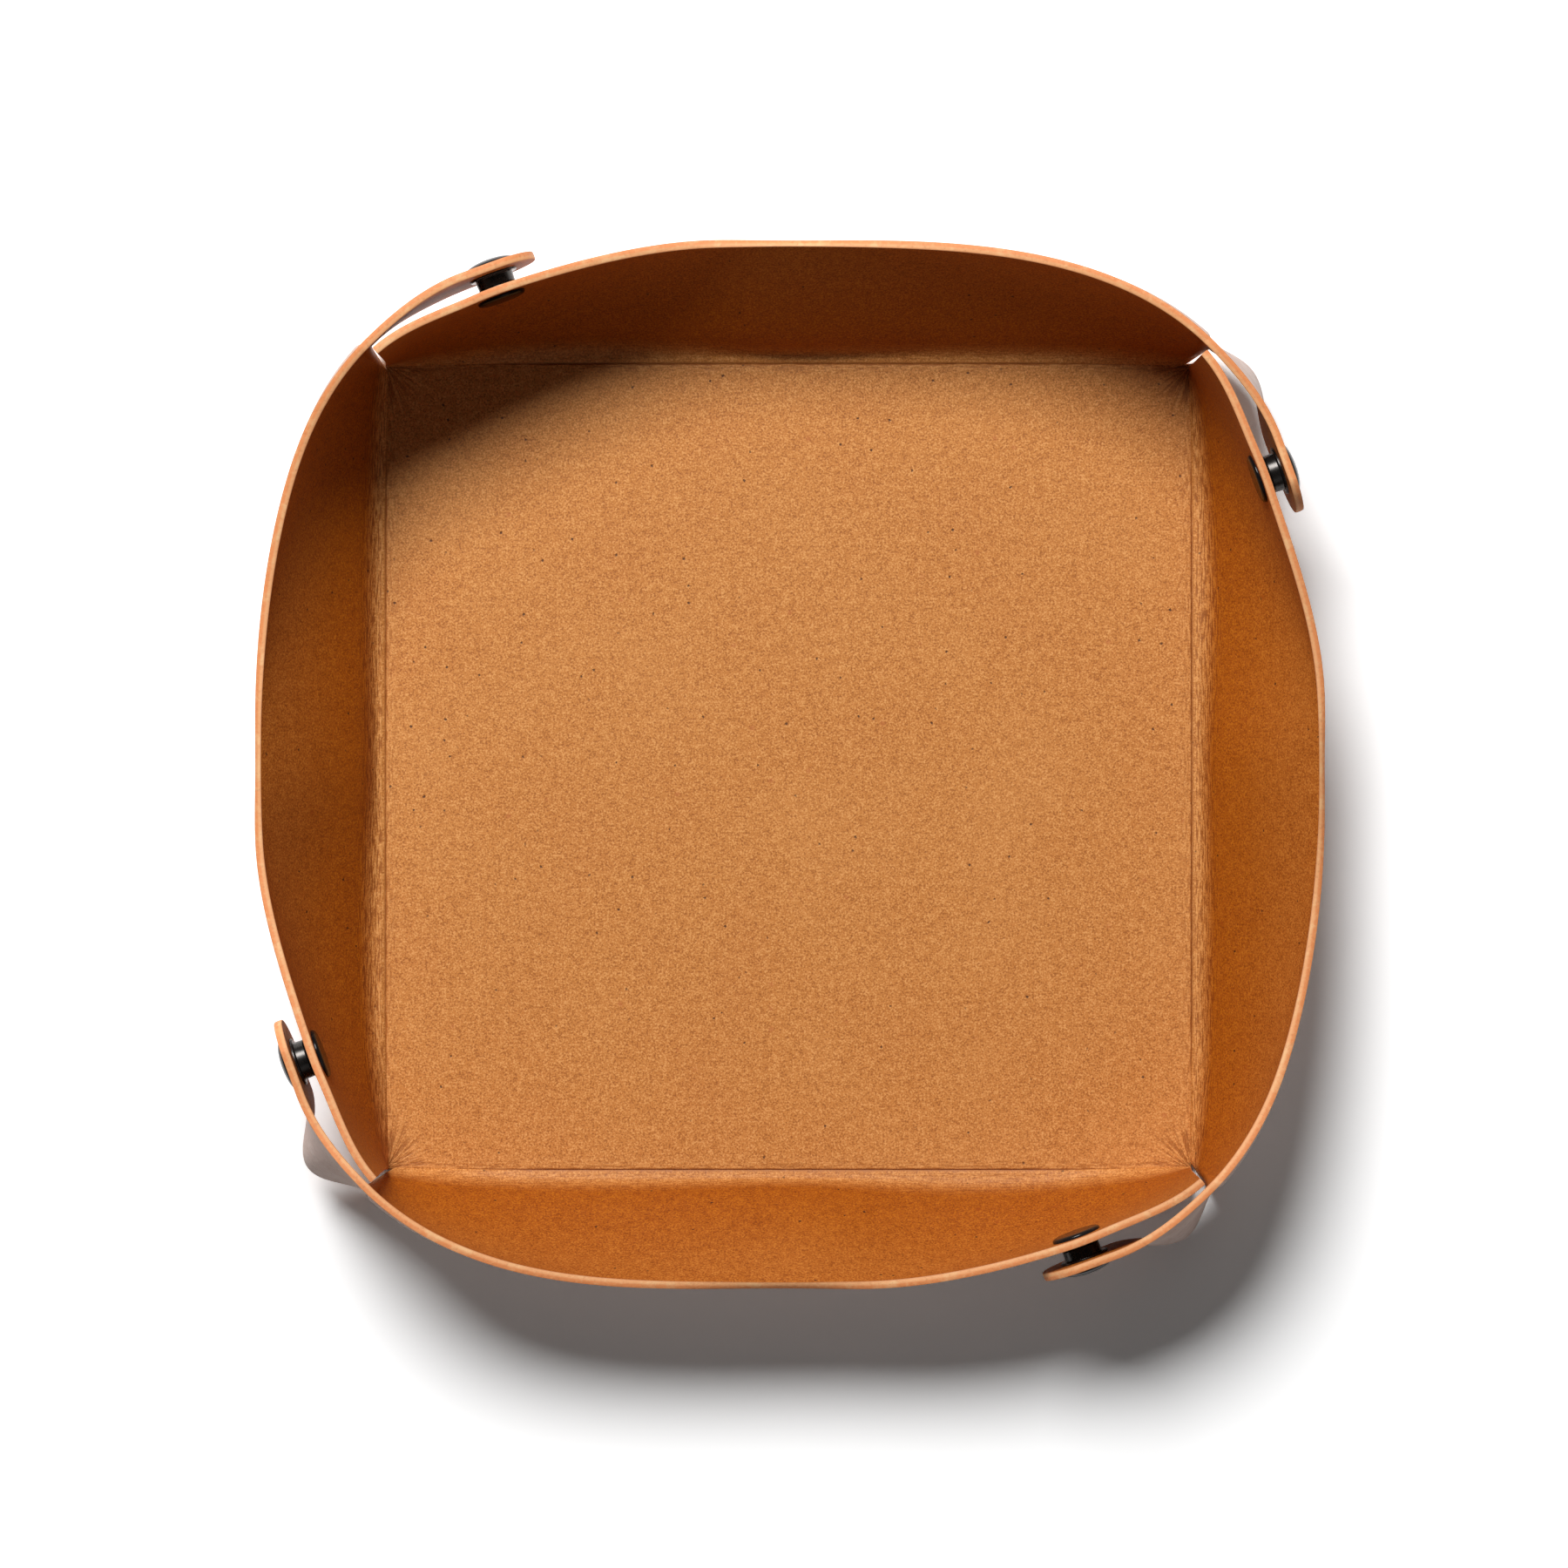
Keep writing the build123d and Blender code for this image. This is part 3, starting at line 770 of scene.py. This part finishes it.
def tabPanel(quarter):  # quarter is that of the corner; the tab belongs to the wall before it
    flat, flatCount, endCount = tab["flat"], tab["flatColumns"], tab["endColumns"]
    reaches = [k / tab["columns"] for k in range(tab["columns"] + 1)]
    reaches += [1 + flat * (k + 1) / flatCount for k in range(flatCount)]
    turns = [radians(tab["endTurn"] * (k + 1) / endCount) for k in range(endCount)]
    reaches += [1 + flat + tab["endRadius"] * sin(turn) for turn in turns]
    limits = [tabColumn(reach) for reach in reaches]
    shares = spread(tab["rows"], tab["rowEdge"])
    grid = [[turned(bulged(reach, low + (top - low) * share, tab["bulge"][quarter]), quarter)
             for reach, (low, top) in zip(reaches, limits)] for share in shares]
    length = [0.0]
    for j in range(1, len(reaches)):
        length.append(length[-1] + (grid[-1][j] - grid[-1][j - 1]).length)

    def sheetUv(i, j):
        return (length[j] * mm, tab["sheetRows"][0] + tab["sheetRows"][1] * shares[i])

    def fanUv(i, j):
        return (0.0, 1.0)

    borders = {"low": "cut", "high": "cut", "start": "seam", "end": "cut"}
    return leatherShell("leather_tab_" + sides[quarter - 1], grid, sheetUv, fanUv, borders,
                        bend=(0, turned(bendNormal, quarter - 1)))


floorPiece = floorPanel()
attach(floorPiece, "base")
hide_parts("base_panel")
foldSide = Vector((0, 0.5, 0.85)).normalized()
foldLine = Vector((0, foldHalf, foldHeight))
bendLeaving = Vector((1, 1, 0)).normalized()
for quarter, side in enumerate(sides):
    wall = wallPanel(quarter)
    turned(foldLine + foldSide * 0.5, quarter) * mm
    turned(foldLine + foldSide * 5.4, quarter) * mm
    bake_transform(wall)
    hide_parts("wall_" + side)
    owner = sides[quarter - 1]
    flap = tabPanel(quarter)
    turned(startFoot, quarter) * mm
    turned(startFoot + bendLeaving * 6.0, quarter) * mm
    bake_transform(flap)
    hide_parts("tab_" + owner)
print("leather folded: 1 floor, 4 walls, 4 tabs")


# Turned snap pieces. A profile is a list of (radius, height, corner rounding) in the snap's plane
def roundedProfile(points, arcSteps=5):
    line = []
    for k, (radius, height, rounding) in enumerate(points):
        if rounding == 0 or k in (0, len(points) - 1):
            line.append((radius, height))
            continue
        here = Vector((radius, height))
        before, after = Vector(points[k - 1][:2]) - here, Vector(points[k + 1][:2]) - here
        size = min(rounding, before.length * 0.49, after.length * 0.49)
        a, b = here + before.normalized() * size, here + after.normalized() * size
        for n in range(arcSteps + 1):
            t = n / arcSteps
            point = a * (1 - t) ** 2 + here * 2 * t * (1 - t) + b * t * t
            line.append((point.x, point.y))
    return line


def domeProfile(radius, edge, top, steps=14):  # an arc from the rim's edge up to the middle
    angles = [radians(90 * k / steps) for k in range(1, steps + 1)]
    return [(radius * cos(angle), edge + (top - edge) * sin(angle)) for angle in angles]


def cleaned(mesh):
    work = bmesh.new()
    work.from_mesh(mesh)
    bmesh.ops.remove_doubles(work, verts=work.verts, dist=1e-7)
    bmesh.ops.dissolve_degenerate(work, edges=work.edges, dist=1e-8)
    bmesh.ops.recalc_face_normals(work, faces=work.faces)
    work.to_mesh(mesh)
    work.free()
    mesh.shade_smooth()
    mesh.set_sharp_from_angle(angle=radians(snapSizes["sharpAngle"]))
    return mesh


def turnedPiece(name, line, segments=72, arc=360.0):
    closed = arc >= 360
    count = segments if closed else segments + 1
    vertices, faces = [], []
    for k in range(count):
        spin = radians(arc) * k / segments
        for radius, height in line:
            vertices.append(onSnap(radius * cos(spin), radius * sin(spin), height) * mm)
    width = len(line)
    for k in range(segments):
        a, b = k * width, ((k + 1) % count) * width
        for n in range(width if not closed else width - 1):
            m = (n + 1) % width
            faces.append((a + n, b + n, b + m, a + m))
    if not closed:
        faces.append(tuple(range(width)))
        faces.append(tuple(reversed(range((count - 1) * width, count * width))))
    mesh = bpy.data.meshes.new(name)
    mesh.from_pydata(vertices, [], faces)
    return placed(name, cleaned(mesh))


snapSizes = {
    "capDiameter": 12.5, "capDome": 2.2, "capRim": 0.56, "capRoll": 0.25, "capShank": 3.6,
    "socketFlange": 12.0, "socketFlangeThick": 0.8, "socketBody": 9.4, "socketFoot": 0.1,
    "socketBore": 8.3, "socketFloor": 0.6,
    "clench": 5.2, "clenchHeight": 0.45,
    "wire": 0.6, "wireGap": 40.0, "wirePlay": 0.05, "wireLift": 0.25, "wireSides": 16, "wireSegments": 64,
    "studFlange": 11.2, "studFlangeThick": 0.6, "studNeck": 3.7, "studNeckHeight": 0.5,
    "studHead": 4.4, "studHeadHeight": 1.3, "headSwell": (0.3, 0.85), "headTaper": 0.35, "headFlat": 0.9,
    "postDiameter": 12.3, "postDome": 1.45, "postBevel": (0.7, 0.42), "postShank": 2.6,
    "studToSocket": 0.15,
    "sharpAngle": 50.0,
}


def snapProfiles():
    s, bite = snapSizes, snap["bite"]
    # heights over the middle of the wall's leather
    studBase = halfSheet - bite
    studTop = studBase + s["studFlangeThick"]
    neckTop = studTop + s["studNeckHeight"]
    headTop = neckTop + s["studHeadHeight"]
    socketBack = tabMiddle - halfSheet + bite
    socketStep = socketBack - s["socketFlangeThick"]
    socketMouth = studTop + s["studToSocket"]
    socketFloor = socketBack - s["socketFloor"]
    clenched = socketFloor - s["clenchHeight"]
    capBack = tabMiddle + halfSheet - bite
    capRim = capBack + s["capRim"]
    postBack = -halfSheet + bite
    postTop = postBack - s["postDome"]
    # radii
    capEdge, capShank, clench = s["capDiameter"] / 2, s["capShank"] / 2, s["clench"] / 2
    postEdge, postShank = s["postDiameter"] / 2, s["postShank"] / 2
    studEdge, neck, head = s["studFlange"] / 2, s["studNeck"] / 2, s["studHead"] / 2
    socketEdge, body, bore = s["socketFlange"] / 2, s["socketBody"] / 2, s["socketBore"] / 2
    # the cap's edge rolls in a little under its dome
    cap = roundedProfile([
        (0.0, clenched, 0), (clench, clenched, 0.15), (clench, socketFloor, 0), (capShank, socketFloor, 0),
        (capShank, capBack, 0), (capEdge - s["capRoll"], capBack, 0.1),
        (capEdge, capBack + s["capRoll"], 0.2), (capEdge, capRim, 0)])
    cap += domeProfile(capEdge, capRim, capBack + s["capDome"])
    bevel, bevelHeight = s["postBevel"]
    post = roundedProfile([
        (0.0, postTop, 0), (postEdge - bevel, postTop, 0.5), (postEdge, postTop + bevelHeight, 0.4),
        (postEdge, postBack, 0.1), (postShank, postBack, 0), (postShank, studTop, 0.1), (0.0, studTop, 0)])
    swellStart, swellEnd = [neckTop + s["studHeadHeight"] * share for share in s["headSwell"]]
    stud = roundedProfile([
        (postShank, studTop, 0), (postShank, studBase, 0), (studEdge, studBase, 0.12),
        (studEdge, studTop, 0.25), (neck, studTop, 0.2), (neck, neckTop, 0.1), (head, swellStart, 0.3),
        (head - s["headTaper"], swellEnd, 0.5), (s["headFlat"], headTop, 0.3), (0.0, headTop, 0)])
    stud += [(0.0, studTop), (postShank, studTop)]
    socket = roundedProfile([
        (capShank, socketBack, 0), (socketEdge, socketBack, 0.15), (socketEdge, socketStep, 0.3),
        (body + s["socketFoot"], socketStep, 0.2), (body, socketMouth, 0.3), (bore, socketMouth, 0.15),
        (bore, socketFloor, 0.2), (capShank, socketFloor, 0), (capShank, socketBack, 0)])
    wire, count = s["wire"] / 2, s["wireSides"]
    ring, level = bore - wire - s["wirePlay"], socketMouth + s["wireLift"] + s["wire"]
    turns = [2 * pi * k / count for k in range(count)]
    spring = [(ring + wire * cos(turn), level + wire * sin(turn)) for turn in turns]
    return {"cap": cap, "socket": socket, "stud": stud, "post": post, "spring": spring}


# Node tree that brings one finished piece to its corner
def cornerTree():
    tree = bpy.data.node_groups.new("bring_to_corner", "GeometryNodeTree")
    tree.is_modifier = True
    for label, kind in (("Piece", "NodeSocketObject"), ("Corner", "NodeSocketInt"),
                        ("Quarter Turn", "NodeSocketFloat"), ("Finish", "NodeSocketMaterial")):
        tree.interface.new_socket(label, in_out="INPUT", socket_type=kind)
    tree.interface.new_socket("Geometry", in_out="OUTPUT", socket_type="NodeSocketGeometry")
    add, join = tree.nodes.new, tree.links.new
    given, result = add("NodeGroupInput"), add("NodeGroupOutput")
    piece, turn, spin = add("GeometryNodeObjectInfo"), add("ShaderNodeMath"), add("ShaderNodeCombineXYZ")
    instance, point = add("GeometryNodeInstanceOnPoints"), add("GeometryNodePoints")
    realize, finish = add("GeometryNodeRealizeInstances"), add("GeometryNodeSetMaterial")
    turn.operation = "MULTIPLY"
    piece.inputs["As Instance"].default_value = True
    join(given.outputs["Piece"], piece.inputs["Object"])
    join(given.outputs["Corner"], turn.inputs[0])
    join(given.outputs["Quarter Turn"], turn.inputs[1])
    join(turn.outputs[0], spin.inputs["Z"])
    join(point.outputs[0], instance.inputs["Points"])
    join(piece.outputs["Geometry"], instance.inputs["Instance"])
    join(spin.outputs[0], instance.inputs["Rotation"])
    join(instance.outputs[0], realize.inputs[0])
    join(realize.outputs[0], finish.inputs["Geometry"])
    join(given.outputs["Finish"], finish.inputs["Material"])
    join(finish.outputs[0], result.inputs[0])
    return tree


def bringToCorner(tree, master, corner, finish, name):
    carrier = placed(name + "_nodes", bpy.data.meshes.new(name + "_nodes"))
    modifier = carrier.modifiers.new("corner", "NODES")
    modifier.node_group = tree
    given = {item.name: item.identifier for item in tree.interface.items_tree if item.in_out == "INPUT"}
    modifier[given["Piece"]] = master
    modifier[given["Corner"]] = corner
    modifier[given["Quarter Turn"]] = -pi / 2
    modifier[given["Finish"]] = finish
    carrier.update_tag()
    bpy.context.view_layer.update()
    depsgraph = bpy.context.evaluated_depsgraph_get()
    mesh = bpy.data.meshes.new_from_object(carrier.evaluated_get(depsgraph))
    carrier.modifiers.clear()
    bpy.data.objects.remove(carrier)
    return placed(name, mesh)


profiles = snapProfiles()
masters = {kind: turnedPiece("master_" + kind, line) for kind, line in profiles.items() if kind != "spring"}
masters["spring"] = turnedPiece("master_spring", profiles["spring"], snapSizes["wireSegments"],
                                360 - snapSizes["wireGap"])
finishOf = {"cap": enamel, "post": enamel, "stud": plate, "socket": plate, "spring": wireSteel}
toCornerTree = cornerTree()
for quarter, corner in enumerate(corners):
    for kind, master in masters.items():
        made = bringToCorner(toCornerTree, master, quarter, finishOf[kind], f"{kind}_{corner}")
        body = "wall_" + sides[quarter] if kind in ("stud", "post") else "tab_" + sides[quarter - 1]
        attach(made, body)
        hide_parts(f"snap_{kind}_{corner}")
for master in masters.values():
    bpy.data.objects.remove(master)
print("snaps placed:", len(corners) * len(masters))


# Table, light and camera
studio = {
    "tableSize": 6.0,
    "tableLevel": -0.0003,
    "tableShown": (1.42, 1.42, 1.42),  # as the camera sees it
    "tableGiven": (0.80, 0.80, 0.80),  # as it lights the tray
    "keyFrom": (-0.45, 1.18, 1.48),
    "keySize": (1.10, 0.80),
    "keyPower": 45.0,
    "fillFrom": (0.85, -0.95, 1.10),
    "fillSize": 1.2,
    "fillPower": 1.7,
    "worldLevel": 0.018,
    "sensor": 36.0,
    "clip": (0.01, 20),
    "cameraHeight": 1.20,
    "cameraShift": (-0.0012, -0.0044),
    "shownWidth": 0.3843,  # width of the photograph's frame at the rim's height
    "rimLevel": 0.045,
}


def tableTop():
    mesh = bpy.data.meshes.new("table_top")
    half, level = studio["tableSize"] / 2, studio["tableLevel"]
    places = [(-half, -half, level), (half, -half, level), (half, half, level), (-half, half, level)]
    mesh.from_pydata(places, [], [(0, 1, 2, 3)])
    f = Finish("white_table")
    shown = f.node("ShaderNodeBsdfDiffuse", {}, {"Color": (*studio["tableShown"], 1)})
    given = f.node("ShaderNodeBsdfDiffuse", {}, {"Color": (*studio["tableGiven"], 1)})
    # camera and glossy rays
    seen = f.node("ShaderNodeLightPath", out=0) + f.node("ShaderNodeLightPath", out=3)
    mixed = f.node("ShaderNodeMixShader", {}, {0: seen, 1: given, 2: shown})
    f.node("ShaderNodeOutputMaterial", {}, {"Surface": mixed})
    mesh.materials.append(f.material)
    made = placed("table_top", mesh)


def softbox(name, place, size, power):
    light = bpy.data.lights.new(name, "AREA")
    light.shape, light.energy = "ELLIPSE", power
    light.size, light.size_y = size
    made = placed(name, light)
    made.location = place
    made.rotation_euler = (-Vector(place)).to_track_quat("-Z", "Y").to_euler()


def world():
    room = bpy.data.worlds.new("room")
    room.use_nodes = True
    background = room.node_tree.nodes["Background"]
    background.inputs["Color"].default_value = (1, 1, 1, 1)
    background.inputs["Strength"].default_value = studio["worldLevel"]
    scene.world = room


def camera():
    data = bpy.data.cameras.new("camera")
    data.sensor_width = studio["sensor"]
    data.lens = studio["sensor"] * (studio["cameraHeight"] - studio["rimLevel"]) / studio["shownWidth"]
    data.clip_start, data.clip_end = studio["clip"]
    scene.camera = placed("camera", data)
    scene.camera.location = (*studio["cameraShift"], studio["cameraHeight"])


tableTop()
softbox("key_softbox", studio["keyFrom"], studio["keySize"], studio["keyPower"])
softbox("fill_softbox", studio["fillFrom"], (studio["fillSize"], studio["fillSize"]), studio["fillPower"])
world()
camera()
scene.view_settings.view_transform = "Standard"
print("table, light and camera set")
